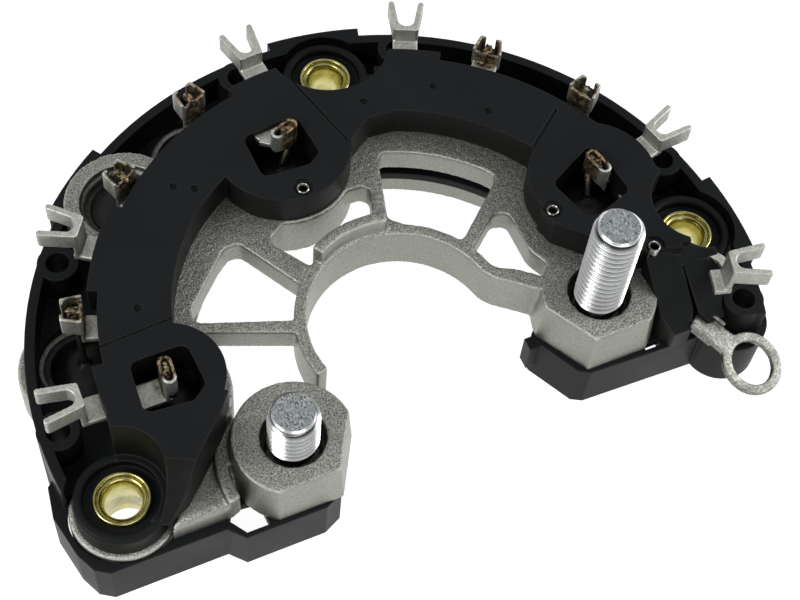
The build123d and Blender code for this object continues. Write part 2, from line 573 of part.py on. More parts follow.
# the cover clears the heat sink and the crowned potting, whichever is higher
pour_top = POS_CUP_Z + CUP_HEIGHT + POT_DOME + CUP_CLEARANCE
for centre in POS_DIODES.values():
    cover_body -= disc(centre, CUP_R + CUP_CLEARANCE, 0.0, max(POS_TOP_Z, pour_top))
for angle in GUIDE_ANGLES:
    cover_body -= disc(at(GUIDE_CIRCLE_R, angle), GUIDE_R + GUIDE_CLEARANCE, 0.0, RIM_TOP_Z + 0.3)
for centre in BUSHES.values():
    cover_body -= disc(centre, COLLAR_POCKET_R, COLLAR_FLOOR_Z, COVER_TOP_Z)
    cover_body -= disc(centre, BUSH_BODY_R + BUSH_CLEARANCE, 0.0, COVER_TOP_Z)
for centre in RIVETS:
    cover_body -= disc(centre, RIVET_R, 0.0, 40.0)
    cover_body -= disc(centre, RIVET_FLANGE_R + 0.3, COVER_TOP_Z - RIVET_RECESS, 40.0)

# Shallow seams and ejector marks on the cover
SEAM_DEPTH = 0.35
SEAM_WIDTH = 0.4
SEAMS = [((-0.6, 45.0), (3.2, 30.6)), ((38.0, 23.8), (29.2, 16.9)), ((-46.0, 9.0), (-34.4, 9.7))]
for start, end in SEAMS:
    cover_body -= bar(start, end, SEAM_WIDTH, COVER_TOP_Z - SEAM_DEPTH, COVER_TOP_Z + 1)
MARKS = [(20.8, 35.6), (8.8, 36.8), (27.2, 27.6), (-26.0, 32.2), (-23.0, 30.6), (-38.6, 13.2)]
MARK_R = 0.7
MARK_DEPTH = 0.5
for centre in MARKS:
    cover_body -= disc(centre, MARK_R, COVER_TOP_Z - MARK_DEPTH, COVER_TOP_Z + 1)

# Ring terminal: flat lug with a short neck folded up at its sides, sloping down to the front
LUG_LENGTH = 8.9
LUG_RING_R = 5.3
LUG_HOLE_R = 3.7
LUG_THICKNESS = 1.0
LUG_ROOT = (46.4, -17.9, 12.6)
LUG_TURN = -57.0
LUG_TILT = 17.0
LUG_NECK = 3.8
LUG_FOLD = 0.9
LUG_FOLD_END = 1.6
LUG_TAIL = 3.0
lug = Pos(LUG_LENGTH, 0, 0) * Cylinder(LUG_RING_R, LUG_THICKNESS)
lug += Pos((LUG_LENGTH - LUG_TAIL) / 2, 0, 0) * Box(LUG_LENGTH + LUG_TAIL, LUG_NECK, LUG_THICKNESS)
neck_corners = lug.edges().filter_by(Axis.Z).group_by(Axis.X)[-1]
lug = fillet(neck_corners, LUG_THICKNESS)
for sign in (1, -1):
    wall = Box(LUG_FOLD_END + LUG_TAIL, LUG_THICKNESS * 0.7, LUG_FOLD + LUG_THICKNESS)
    middle_x = (LUG_FOLD_END - LUG_TAIL) / 2
    lug += Pos(middle_x, sign * (LUG_NECK / 2), LUG_FOLD / 2) * wall
lug -= Pos(LUG_LENGTH, 0, 0) * Cylinder(LUG_HOLE_R, LUG_THICKNESS * 4)
ring_terminal = Pos(*LUG_ROOT) * Rot(0, 0, LUG_TURN) * Rot(0, LUG_TILT, 0) * lug

carrier = cover_body
for piece in (strip_u, strip_v, strip_w, strip_star, ring_terminal):
    carrier -= piece
carrier -= positive

# Diodes
diodes = {}


def bent_lead(centre, end, low):
    # straight up, over to the end point, and straight up again
    first = (centre[0], centre[1], LEAD_BEND_LOW_Z)
    second = (end[0], end[1], LEAD_BEND_HIGH_Z)
    body = disc(centre, LEAD_R, low, LEAD_BEND_LOW_Z)
    body += disc(end, LEAD_R, LEAD_BEND_HIGH_Z, LEAD_TOP_Z)
    run = Vector(*second) - Vector(*first)
    body += Plane(origin=first, z_dir=run) * Cylinder(LEAD_R, run.length, align=UPWARD)
    for point in (first, second):
        body += Pos(*point) * Sphere(LEAD_R)
    return body


def add_diode(name, centre, cup_z, end):
    cup = disc(centre, CUP_R, cup_z, cup_z + CUP_HEIGHT)
    cup -= disc(centre, CUP_R - CUP_WALL, cup_z + CUP_FLOOR, cup_z + CUP_HEIGHT)
    pot_low = cup_z + CUP_FLOOR
    pot_high = cup_z + CUP_HEIGHT
    potting = disc(centre, CUP_R - CUP_WALL, pot_low, pot_high)
    dome = Cone(CUP_R - CUP_WALL - 0.3, POT_TOP_R, POT_DOME, align=UPWARD)
    potting += Pos(centre[0], centre[1], pot_high) * dome
    lead = disc(centre, LEAD_HEAD_R, pot_low + 0.6, pot_low + 0.6 + LEAD_HEAD)
    if end == centre:
        lead += disc(centre, LEAD_R, pot_low + 0.6, LEAD_TOP_Z)
    else:
        lead += bent_lead(centre, end, pot_low + 0.6)
    potting -= lead
    diodes[name + "_cup"] = cup
    diodes[name + "_potting"] = potting
    diodes[name + "_lead"] = lead


for key, centre in POS_DIODES.items():
    lead_end = LOOPS[key][0] if key in LOOPS else centre
    add_diode("positive_diode_" + key, centre, POS_CUP_Z, lead_end)
for key, centre in NEG_DIODES.items():
    add_diode("negative_diode_" + key, centre, NEG_CUP_Z, centre)


# Studs
def stud(centre, top):
    # pressed shank below the counterbore, threaded length above it
    thread = disc(centre, STUD_R, COUNTERBORE_Z, top)
    rim = thread.edges().filter_by(GeomType.CIRCLE).sort_by(Axis.Z)[-1]
    return chamfer(rim, STUD_END_CHAMFER) + disc(centre, STUD_SHANK_R, STUD_BASE_Z, COUNTERBORE_Z)


stud_long = stud(STUD_LONG, STUD_LONG_TOP_Z)
stud_short = stud(STUD_SHORT, STUD_SHORT_TOP_Z)


# Bushes
def bush(centre):
    body = disc(centre, BUSH_BODY_R, FIN_Z, COLLAR_FLOOR_Z)
    body += disc(centre, BUSH_FLANGE_R, COLLAR_FLOOR_Z, COLLAR_FLOOR_Z + BUSH_FLANGE)
    body -= disc(centre, BUSH_BORE_R, 0.0, 40.0)
    lead_in = 0.5
    cone = Cone(BUSH_BORE_R, BUSH_BORE_R + lead_in, lead_in, align=UPWARD)
    body -= Pos(centre[0], centre[1], COLLAR_FLOOR_Z + BUSH_FLANGE - lead_in) * cone
    return body


# Rivets
def rivet(centre):
    top = COVER_TOP_Z + 0.3
    body = disc(centre, RIVET_R, RIVET_BASE_Z, top)
    body += disc(centre, RIVET_FLANGE_R, COVER_TOP_Z - RIVET_RECESS, top)
    body -= disc(centre, RIVET_HOLE_R, RIVET_BASE_Z + 4.0, 40.0)
    return body


nodes = {
    "negative_heat_sink": negative,
    "insulating_base": base,
    "positive_heat_sink": positive,
    "terminal_carrier": carrier,
    "phase_strip_u": strip_u,
    "phase_strip_v": strip_v,
    "phase_strip_w": strip_w,
    "star_point_strip": strip_star,
    "output_stud_long": stud_long,
    "output_stud_short": stud_short,
    "ring_terminal": ring_terminal,
}
for name, centre in BUSHES.items():
    nodes["mounting_bush_" + name] = bush(centre)
for index, centre in enumerate(RIVETS, start=1):
    nodes["carrier_rivet_" + str(index)] = rivet(centre)
nodes.update(diodes)

for name, shape in nodes.items():
    export_step(shape, "parts/" + name + ".step")
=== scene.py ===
import bpy
import bmesh
import json
import math
import random
from mathutils import Matrix, Vector, noise


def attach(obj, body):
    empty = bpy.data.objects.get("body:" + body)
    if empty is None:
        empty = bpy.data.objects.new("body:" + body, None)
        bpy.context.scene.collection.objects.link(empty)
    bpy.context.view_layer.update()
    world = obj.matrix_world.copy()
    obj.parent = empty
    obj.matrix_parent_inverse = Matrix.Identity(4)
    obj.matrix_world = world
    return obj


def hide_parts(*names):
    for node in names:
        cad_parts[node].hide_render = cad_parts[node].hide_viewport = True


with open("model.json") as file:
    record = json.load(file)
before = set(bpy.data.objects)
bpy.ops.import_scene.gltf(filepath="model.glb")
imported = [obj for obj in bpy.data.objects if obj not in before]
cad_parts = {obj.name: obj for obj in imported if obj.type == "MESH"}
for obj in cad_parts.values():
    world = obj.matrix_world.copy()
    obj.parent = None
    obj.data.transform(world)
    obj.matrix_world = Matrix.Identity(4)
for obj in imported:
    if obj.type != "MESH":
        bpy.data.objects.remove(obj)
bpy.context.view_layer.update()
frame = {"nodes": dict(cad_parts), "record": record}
nodes = frame["nodes"]
MM = 0.001


def at(radius, angle):
    """The point at a radius and an angle in degrees about the hub axis."""
    a = math.radians(angle)
    return (radius * math.cos(a), radius * math.sin(a))


# Sizes and places are in millimetres and angles in degrees, in the part's own frame, unless a
# comment says otherwise.

# Studs, each with its centre, the height of its end and the height where its thread starts
STUDS = {
    "output_stud_long": ((30.7, -7.6), 37.0, 17.0),
    "output_stud_short": ((-23.9, -12.9), 26.1, 17.0),
}
STUD_R = 4.0
STUD_ROOT_R = 3.24
STUD_NECK_R = 3.55
STUD_FOOT_Z = 15.3
STUD_PILOT = 0.55
STUD_PILOT_R = 3.38
STUD_END_R = 3.1
# The end face is slightly dished, between these two shares of its radius
DISH_RIM_SHARE = 0.86
DISH_FLOOR_SHARE = 0.5
DISH_DEPTH = 0.04

# One pitch of a metric thread: how far along the pitch, and how far from crest to root
THREAD_SHAPE = [
    (0.0, 0.06), (0.03, 0.0), (0.11, 0.0), (0.14, 0.06),
    (0.42, 0.92), (0.47, 1.0), (0.66, 1.0), (0.71, 0.92),
]
THREAD_PITCH = 1.25
THREAD_STEPS = 72
THREAD_SHARP_ANGLE = 36
# How fast the thread's radius may grow with height above the neck, and with depth below the pilot
THREAD_RUN_IN = 1.2
THREAD_RUN_OUT = 1.1

# Diodes: negative ones along the rim, positive ones in the windows and the open boss
DIODE_CIRCLE_R = 50.1
NEGATIVE_DIODES = {
    "1": at(DIODE_CIRCLE_R, 162.0),
    "2": at(DIODE_CIRCLE_R, 110.8),
    "3": at(DIODE_CIRCLE_R, 50.0),
    "4": at(DIODE_CIRCLE_R, 29.7),
}
POSITIVE_DIODES = {"1": (-38.4, 0.9), "2": (-33.2, 36.4), "3": (-6.8, 33.8), "4": (37.5, 9.7)}
CUP_INNER_R = 5.5
LEAD_R = 0.55
LEAD_TOP_Z = 25.3

# For each set of diodes: the places, the height of the pours' rims, and the seed of the first pour
POURS = {"negative": (NEGATIVE_DIODES, 7.6, 3), "positive": (POSITIVE_DIODES, 16.0, 13)}
# A pour's outline from the cup to the lead, as radius and rise
POUR_PROFILE = [
    (CUP_INNER_R, 0.0), (5.3, 0.12), (4.9, 0.30), (4.3, 0.62), (3.5, 1.05), (2.7, 1.36),
    (1.9, 1.50), (1.35, 1.56), (1.0, 1.66), (0.8, 1.82), (LEAD_R + 0.05, 2.0),
]
# How far a pour reaches below its rim, and how much it leans and ripples
POUR_DEPTH = 1.0
POUR_LEAN = 0.10
POUR_RIPPLE = 0.05
POUR_RIPPLES = 3
POUR_STEPS = 48

# Where each lead is soldered into its crimp, the way the crimp runs, and how far the solder
# reaches along it
SOLDER = {
    "negative_diode_1_lead": (NEGATIVE_DIODES["1"], -18.0, 1.25),
    "negative_diode_2_lead": (NEGATIVE_DIODES["2"], -70.0, 1.25),
    "negative_diode_3_lead": (NEGATIVE_DIODES["3"], -130.0, 1.25),
    "negative_diode_4_lead": (NEGATIVE_DIODES["4"], -150.3, 1.25),
    "positive_diode_2_lead": (POSITIVE_DIODES["2"], -60.0, 1.25),
    "positive_diode_1_lead": ((-38.35, 1.4), -94.4, 1.6),
    "positive_diode_3_lead": ((-5.4, 35.35), 199.1, 1.6),
    "positive_diode_4_lead": ((38.6, 11.4), -76.4, 1.6),
}
# How far a lump reaches to the sides and up, how far its middle lies below the lead's end, and
# how strong and how fine its two layers of unevenness are
SOLDER_HALF_WIDTH = 0.78
SOLDER_HALF_HEIGHT = 0.85
SOLDER_DROP = 0.45
SOLDER_SWELL = 0.42
SOLDER_SWELL_FINENESS = 1.7
SOLDER_CRUMPLE = 0.16
SOLDER_CRUMPLE_FINENESS = 4.5
SOLDER_SEED = 3.0

# The flange has a rolled outer ring, a groove and a bell mouth, and the bore opens out at its
# lower end. The outline is closed, as radius and height
BUSH_PROFILE = [
    (3.72, 2.0), (3.70, 5.4), (2.85, 6.4), (2.85, 12.6), (3.02, 13.3), (3.30, 13.72),
    (3.48, 13.78), (3.58, 13.56), (3.70, 13.56), (3.80, 13.98), (3.98, 14.16), (4.16, 14.19),
    (4.34, 14.08), (4.44, 13.84), (4.44, 13.0), (3.80, 13.0), (3.80, 2.0),
]
BUSH_CIRCLE_R = 51.4
BUSHES = {
    "left": at(BUSH_CIRCLE_R, 192.2),
    "top": at(BUSH_CIRCLE_R, 81.0),
    "right": at(BUSH_CIRCLE_R, -0.9),
}

# Tubular rivets with a rolled head
RIVET_PROFILE = [
    (0.62, 15.2), (0.62, 23.3), (0.70, 23.72), (0.86, 23.88),
    (1.02, 23.80), (1.10, 23.58), (1.10, 15.2),
]
RIVETS = {"1": (-7.0, 24.6), "2": (28.4, 6.1), "3": (40.4, -6.0)}
TURNED_STEPS = 64
TURNED_SHARP_ANGLE = 50

# Wire forks: the angles at which each strip has one. A slot's round bottom lies between the wall
# and the two prongs, and its filling reaches a little way into the prongs
FORKS = {
    "phase_strip_u": (178.2,),
    "phase_strip_v": (145.3,),
    "phase_strip_w": (-16.0,),
    "star_point_strip": (96.0, 66.0, 14.0),
}
FORK_WALL_R = 51.7
FORK_THICKNESS = 1.0
FORK_FILLING_HALF = 1.7
FORK_SLOT_DEPTH = 1.25
FORK_SLOT_HALF = 1.38
FORK_SLOT_STEPS = 16
FORK_LOW_Z = 22.6
FORK_HIGH_Z = 25.8

# The size of the cells that a cast or stamped skin is rebuilt in, how often it is smoothed, and
# the share of its triangles that is kept
CAST_SKINS = {
    "positive_heat_sink": (0.28, 5, 0.42),
    "negative_heat_sink": (0.34, 6, 0.42),
}
STAMPED_SKIN = (0.14, 3, 0.3)
SMOOTH_FACTOR = 0.5

# Distances in metres below which vertices are joined and edges are dropped
WELD = 1e-6
THREAD_WELD = 2e-6

# Colours of the materials, as linear red, green and blue
ALUMINIUM_PIT = (0.15, 0.152, 0.136)
ALUMINIUM_SPECK = (0.66, 0.665, 0.61)
ALUMINIUM_TOP_PATCH = (0.23, 0.232, 0.210)
# The walls' tones: a smoother finish, also painted darker than the tops as shade
ALUMINIUM_SHADED_WALL_DARK = (0.235, 0.239, 0.205)
ALUMINIUM_SHADED_WALL_LIGHT = (0.345, 0.35, 0.307)
ALUMINIUM_WALL_PATCH = (0.21, 0.212, 0.182)
# A painted highlight for the aluminium's upper edges
ALUMINIUM_EDGE_HIGHLIGHT = (0.80, 0.81, 0.77)
# Painted shade, with some grime, for the concave corners
ALUMINIUM_HOLLOW_SHADE_AND_GRIME = (0.10, 0.10, 0.085)
# The black plastic's sides painted as shaded and its top painted as lit
BLACK_SHADED_SIDE = (0.0068, 0.0073, 0.0058)
BLACK_LIT_TOP = (0.0130, 0.0147, 0.0160)
BLACK_CLOUD = (0.0180, 0.0200, 0.0215)
BLACK_DUST = (0.06, 0.06, 0.06)
# A painted highlight for the black plastic's edges
BLACK_EDGE_HIGHLIGHT = (0.055, 0.060, 0.062)
BRASS_DARK = (0.46, 0.41, 0.13)
BRASS_LIGHT = (0.74, 0.70, 0.32)
ZINC_DARK = (0.80, 0.815, 0.825)
ZINC_LIGHT = (0.96, 0.97, 0.97)
ZINC_STAIN = (0.50, 0.52, 0.53)
ZINC_SCRATCH = (0.45, 0.46, 0.46)
ZINC_END_DARK = (0.22, 0.27, 0.29)
ZINC_END_LIGHT = (0.99, 0.99, 0.99)
ZINC_END_PATCH = (0.56, 0.64, 0.67)
# Painted shade, with some grime, for the thread roots
ZINC_ROOT_SHADE_AND_GRIME = (0.010, 0.010, 0.012)
RIVET_DARK = (0.22, 0.22, 0.20)
RIVET_LIGHT = (0.62, 0.62, 0.58)
CUP_DARK = (0.030, 0.030, 0.029)
CUP_LIGHT = (0.085, 0.084, 0.080)
CUP_STAIN = (0.03, 0.026, 0.02)
RESIN_DARK = (0.0035, 0.0035, 0.0035)
RESIN_LIGHT = (0.011, 0.0105, 0.0095)
TIN_DARK = (0.54, 0.55, 0.49)
TIN_LIGHT = (0.92, 0.93, 0.87)
TIN_SMEAR = (0.40, 0.395, 0.33)
# A painted highlight for the strips' edges
TIN_EDGE_HIGHLIGHT = (0.98, 0.99, 0.95)
# Painted shade for the sides of the strips and the terminal
TIN_SIDE_SHADE = (0.04, 0.04, 0.03)
WIRE_DULL = (0.035, 0.031, 0.026)
BURNT_COPPER = (0.56, 0.35, 0.20)
BURNT_OLIVE = (0.54, 0.48, 0.29)
BURNT_SOOT = (0.034, 0.025, 0.013)
RING_DARK = (0.17, 0.178, 0.155)
RING_LIGHT = (0.46, 0.47, 0.43)
RING_SMEAR = (0.20, 0.205, 0.175)
# A painted highlight for the terminal's edges
RING_EDGE_HIGHLIGHT = (0.86, 0.87, 0.82)

# A painted edge highlight starts to show where the surface and its rounded copy lean apart by
# the first cosine, and shows in full at the second
EDGE_FLAT = 0.985
EDGE_SHARP = 0.80

# Painted shade, with some grime, in the thread roots: how far past the root it is full, how far
# under the crest it ends, how quickly it ends below the pilot, and how much of the metal it hides
ROOT_SHADE_PAST_ROOT = 0.12
ROOT_SHADE_UNDER_CREST = 0.20
ROOT_SHADE_FADE = 0.02
ROOT_SHADE_SHARE = 0.93

# Burnt metal round the soldered leads: full within one radius and gone at the other, and rising
# from nothing at one height to full at the other
BURNT_R = 1.9
BURNT_FADE_R = 2.6
BURNT_LOW_Z = 19.6
BURNT_FULL_Z = 20.8


# Materials
class Tree:
    """A material's node tree, built with short calls."""

    def __init__(self, name):
        self.material = bpy.data.materials.new(name)
        self.material.use_nodes = True
        self.tree = self.material.node_tree
        self.tree.nodes.clear()
        self.shader = self.add("ShaderNodeBsdfPrincipled")
        output = self.add("ShaderNodeOutputMaterial")
        self.link(self.shader.outputs[0], output.inputs["Surface"])
        self.coords = self.add("ShaderNodeTexCoord").outputs["Object"]

    def add(self, kind, **values):
        node = self.tree.nodes.new(kind)
        for key, value in values.items():
            setattr(node, key, value)
        return node

    def link(self, source, target):
        self.tree.links.new(source, target)

    def put(self, socket, value):
        """Links another node's output to a socket, or sets a plain number on it."""
        if hasattr(value, "is_output"):
            self.link(value, socket)
        else:
            socket.default_value = value

    def noise(self, size_mm, detail=3.0, rough=0.6, stretch=(1.0, 1.0, 1.0), seed=0.0):
        """Cloudy noise in lumps of about a size, drawn out along an axis where stretch is small."""
        place = self.add("ShaderNodeMapping")
        self.link(self.coords, place.inputs["Vector"])
        place.inputs["Location"].default_value = (seed, seed * 0.7, seed * 1.3)
        place.inputs["Scale"].default_value = stretch
        texture = self.add("ShaderNodeTexNoise")
        self.link(place.outputs[0], texture.inputs["Vector"])
        texture.inputs["Scale"].default_value = 1.0 / MM / size_mm
        texture.inputs["Detail"].default_value = detail
        texture.inputs["Roughness"].default_value = rough
        return texture.outputs["Fac"]

    def cells(self, size_mm):
        """The distance to the middle of the nearest of many scattered cells."""
        texture = self.add("ShaderNodeTexVoronoi", feature="F1")
        self.link(self.coords, texture.inputs["Vector"])
        texture.inputs["Scale"].default_value = 1.0 / MM / size_mm
        return texture.outputs["Distance"]

    def ramp(self, value, low, high, out_low=0.0, out_high=1.0):
        """Goes from one output to the other as the value goes from low to high."""
        node = self.add("ShaderNodeMapRange", clamp=True)
        self.put(node.inputs["Value"], value)
        node.inputs["From Min"].default_value = low
        node.inputs["From Max"].default_value = high
        node.inputs["To Min"].default_value = out_low
        node.inputs["To Max"].default_value = out_high
        return node.outputs["Result"]

    def math(self, operation, a, b):
        """A sum, product or the like of two values."""
        node = self.add("ShaderNodeMath", operation=operation)
        self.put(node.inputs[0], a)
        self.put(node.inputs[1], b)
        return node.outputs[0]

    def mix(self, factor, a, b):
        """Goes from one colour to the other as the factor goes from 0 to 1."""
        node = self.add("ShaderNodeMix", data_type="RGBA")
        self.put(node.inputs["Factor"], factor)
        # Of the inputs named A and B, numbers 6 and 7 are the ones for colours, and so is output 2
        for socket, value in ((node.inputs[6], a), (node.inputs[7], b)):
            self.put(socket, value if hasattr(value, "is_output") else (*value, 1.0))
        return node.outputs[2]

    def cover(self, tone, color, source, low, high, share=1.0):
        """Lays a share of a colour over a tone, more of it as the source goes from low to high."""
        return self.mix(self.ramp(source, low, high, 0.0, share), tone, color)

    def bump(self, height, distance_mm, strength, normal=None):
        node = self.add("ShaderNodeBump")
        node.inputs["Strength"].default_value = strength
        node.inputs["Distance"].default_value = distance_mm * MM
        self.link(height, node.inputs["Height"])
        if normal is not None:
            self.link(normal, node.inputs["Normal"])
        return node.outputs["Normal"]

    def height(self):
        """Metres above the floor."""
        split = self.add("ShaderNodeSeparateXYZ")
        self.link(self.coords, split.inputs[0])
        return split.outputs["Z"]

    def facing_up(self, low=0.5, high=0.9):
        """0 where the surface leans more than one limit, 1 where it lies flatter than the other."""
        geometry = self.add("ShaderNodeNewGeometry")
        split = self.add("ShaderNodeSeparateXYZ")
        self.link(geometry.outputs["True Normal"], split.inputs[0])
        return self.ramp(split.outputs["Z"], low, high)

    def rounded(self, radius_mm):
        """The normal as it would be with every edge rounded to a radius."""
        node = self.add("ShaderNodeBevel", samples=4)
        node.inputs["Radius"].default_value = radius_mm * MM
        return node.outputs[0]

    def edge(self, radius_mm, share):
        """A share along sharp edges, 0 on the flats, used for painted edge highlights."""
        geometry = self.add("ShaderNodeNewGeometry")
        dot = self.add("ShaderNodeVectorMath", operation="DOT_PRODUCT")
        self.link(self.rounded(radius_mm), dot.inputs[0])
        self.link(geometry.outputs["True Normal"], dot.inputs[1])
        return self.ramp(dot.outputs["Value"], EDGE_FLAT, EDGE_SHARP, 0.0, share)

    def near(self, points_mm, inner_mm, outer_mm):
        """1 close to any of the vertical lines through the points, 0 away from them."""
        flat = self.add("ShaderNodeVectorMath", operation="MULTIPLY")
        self.link(self.coords, flat.inputs[0])
        flat.inputs[1].default_value = (1.0, 1.0, 0.0)
        best = None
        for x, y in points_mm:
            gap = self.add("ShaderNodeVectorMath", operation="DISTANCE")
            self.link(flat.outputs[0], gap.inputs[0])
            gap.inputs[1].default_value = (x * MM, y * MM, 0.0)
            value = gap.outputs["Value"]
            best = value if best is None else self.math("MINIMUM", best, value)
        return self.ramp(best, outer_mm * MM, inner_mm * MM)

    def surface(self, tone, roughness, metallic, normal, specular=0.5):
        """Sets the shader and gives the finished material."""
        self.link(tone, self.shader.inputs["Base Color"])
        self.put(self.shader.inputs["Roughness"], roughness)
        self.shader.inputs["Metallic"].default_value = metallic
        self.shader.inputs["Specular IOR Level"].default_value = specular
        self.link(normal, self.shader.inputs["Normal"])
        return self.material


def cast_aluminium():
    """Shot-blasted and speckled on top, smoother on the walls and painted darker there as shade,
    with painted highlights along the upper edges and painted shade with grime in the concave
    corners.
    """
    t = Tree("cast_aluminium")
    grain = t.noise(0.25, rough=0.7)
    coarse = t.noise(0.9, detail=2.0, rough=0.5, seed=2.0)
    blotch = t.noise(11.0, seed=3.0)
    up = t.facing_up()
    top = t.cover(ALUMINIUM_PIT, ALUMINIUM_SPECK, grain, 0.38, 0.60)
    top = t.cover(top, ALUMINIUM_TOP_PATCH, coarse, 0.45, 0.62, 0.2)
    # The walls get a smoother tone that is also painted darker than the tops as shade
    shaded_wall = t.cover(ALUMINIUM_SHADED_WALL_DARK, ALUMINIUM_SHADED_WALL_LIGHT, grain, 0.36, 0.64)
    shaded_wall = t.cover(shaded_wall, ALUMINIUM_WALL_PATCH, blotch, 0.4, 0.75, 0.4)
    tone = t.mix(up, shaded_wall, top)
    # Painted highlights along the convex upper edges, where the surface is pointed
    point = t.add("ShaderNodeNewGeometry").outputs["Pointiness"]
    edge_highlight = t.math("MULTIPLY", t.ramp(point, 0.515, 0.555, 0.0, 0.6), t.facing_up(0.15, 0.40))
    tone = t.mix(edge_highlight, tone, ALUMINIUM_EDGE_HIGHLIGHT)
    # Painted shade, with some grime, in the concave corners
    tone = t.cover(tone, ALUMINIUM_HOLLOW_SHADE_AND_GRIME, point, 0.485, 0.43, 0.5)
    height = t.math("ADD", grain, t.math("MULTIPLY", coarse, 0.9))
    height = t.math("MULTIPLY", height, t.ramp(up, 0.0, 1.0, 0.4, 1.0))
    normal = t.bump(height, 0.16, 1.0, t.rounded(0.3))
    return t.surface(tone, t.ramp(grain, 0.3, 0.7, 0.46, 0.32), 0.94, normal)


def black_moulding():
    """Black plastic, painted a little lighter on top as lit and with painted highlights at the
    edges, with faint clouds and dust.
    """
    t = Tree("black_moulding")
    grain = t.noise(0.6, detail=2.0)
    cloud = t.noise(16.0, seed=5.0)
    dust = t.cells(3.1)
    # The top is painted lighter as lit, the sides darker as shaded
    tone = t.mix(t.facing_up(), BLACK_SHADED_SIDE, BLACK_LIT_TOP)
    tone = t.cover(tone, BLACK_CLOUD, cloud, 0.45, 0.8, 0.5)
    tone = t.cover(tone, BLACK_DUST, dust, 0.07, 0.03, 0.25)
    # Painted highlights along the edges
    tone = t.mix(t.edge(0.35, 0.6), tone, BLACK_EDGE_HIGHLIGHT)
    normal = t.bump(grain, 0.03, 0.35, t.rounded(0.4))
    return t.surface(tone, t.ramp(cloud, 0.3, 0.7, 0.36, 0.50), 0.0, normal, specular=0.10)


def brass():
    """Yellow brass with fine marks around it from turning."""
    t = Tree("turned_brass")
    grain = t.noise(1.6)
    rings = t.noise(0.22, detail=2.0, rough=0.5, stretch=(0.05, 0.05, 1.0))
    tone = t.cover(BRASS_DARK, BRASS_LIGHT, grain, 0.35, 0.7)
    normal = t.bump(rings, 0.03, 0.35)
    return t.surface(tone, t.ramp(grain, 0.3, 0.7, 0.16, 0.30), 1.0, normal)


def zinc():
    """Bright on the crests and scuffed on the ends, with painted shade and some grime in the roots
    of the threads.
    """
    t = Tree("zinc_plated_steel")
    grain = t.noise(0.7)
    scratch = t.noise(0.5, rough=0.7, stretch=(1.0, 0.08, 0.3), seed=6.0)
    stain = t.noise(3.0, seed=9.0)
    tone = t.cover(ZINC_DARK, ZINC_LIGHT, grain, 0.3, 0.75)
    tone = t.cover(tone, ZINC_STAIN, stain, 0.55, 0.8, 0.4)
    tone = t.cover(tone, ZINC_SCRATCH, scratch, 0.62, 0.72, 0.4)
    flat = t.facing_up(0.94, 0.985)
    scuff = t.noise(0.30, rough=0.75, stretch=(1.0, 0.5, 1.0), seed=12.0)
    patches = t.noise(1.8, seed=15.0)
    worn = t.cover(ZINC_END_DARK, ZINC_END_LIGHT, scuff, 0.44, 0.56)
    worn = t.cover(worn, ZINC_END_PATCH, patches, 0.46, 0.58, 0.8)
    tone = t.mix(flat, tone, worn)
    # Painted shade, with some grime, in the thread roots below the pilot
    root_shade = None
    for centre, end_z, _ in STUDS.values():
        pilot_z = end_z - STUD_PILOT
        deep = t.near([centre], STUD_ROOT_R + ROOT_SHADE_PAST_ROOT, STUD_R - ROOT_SHADE_UNDER_CREST)
        below = t.ramp(t.height(), pilot_z * MM, (pilot_z - ROOT_SHADE_FADE) * MM)
        deep = t.math("MULTIPLY", deep, below)
        root_shade = deep if root_shade is None else t.math("MAXIMUM", root_shade, deep)
    tone = t.mix(t.math("MULTIPLY", root_shade, ROOT_SHADE_SHARE), tone, ZINC_ROOT_SHADE_AND_GRIME)
    normal = t.bump(t.math("ADD", grain, scratch), 0.025, 0.45)
    return t.surface(tone, t.ramp(flat, 0.0, 1.0, 0.25, 0.22), 1.0, normal)


def rivet_metal():
    """Grey plated steel."""
    t = Tree("rivet_metal")
    grain = t.noise(0.5, detail=2.0)
    tone = t.cover(RIVET_DARK, RIVET_LIGHT, grain, 0.35, 0.7)
    return t.surface(tone, 0.26, 1.0, t.bump(grain, 0.03, 0.5))


def cup_metal():
    """Plated metal, darkened and stained."""
    t = Tree("nickel_plated_cup")
    grain = t.noise(0.7)
    stain = t.noise(3.0, seed=2.0)
    tone = t.cover(CUP_DARK, CUP_LIGHT, grain, 0.3, 0.7)
    tone = t.cover(tone, CUP_STAIN, stain, 0.5, 0.75, 0.5)
    normal = t.bump(grain, 0.04, 0.4, t.rounded(0.2))
    return t.surface(tone, t.ramp(grain, 0.3, 0.7, 0.35, 0.5), 1.0, normal)


def potting():
    """Nearly black resin with a soft swirl."""
    t = Tree("cast_resin")
    grain = t.noise(1.4)
    swirl = t.noise(3.2, seed=7.0)
    tone = t.cover(RESIN_DARK, RESIN_LIGHT, swirl, 0.4, 0.75)
    normal = t.bump(grain, 0.10, 0.5)
    return t.surface(tone, t.ramp(swirl, 0.3, 0.7, 0.30, 0.48), 0.0, normal, specular=0.4)


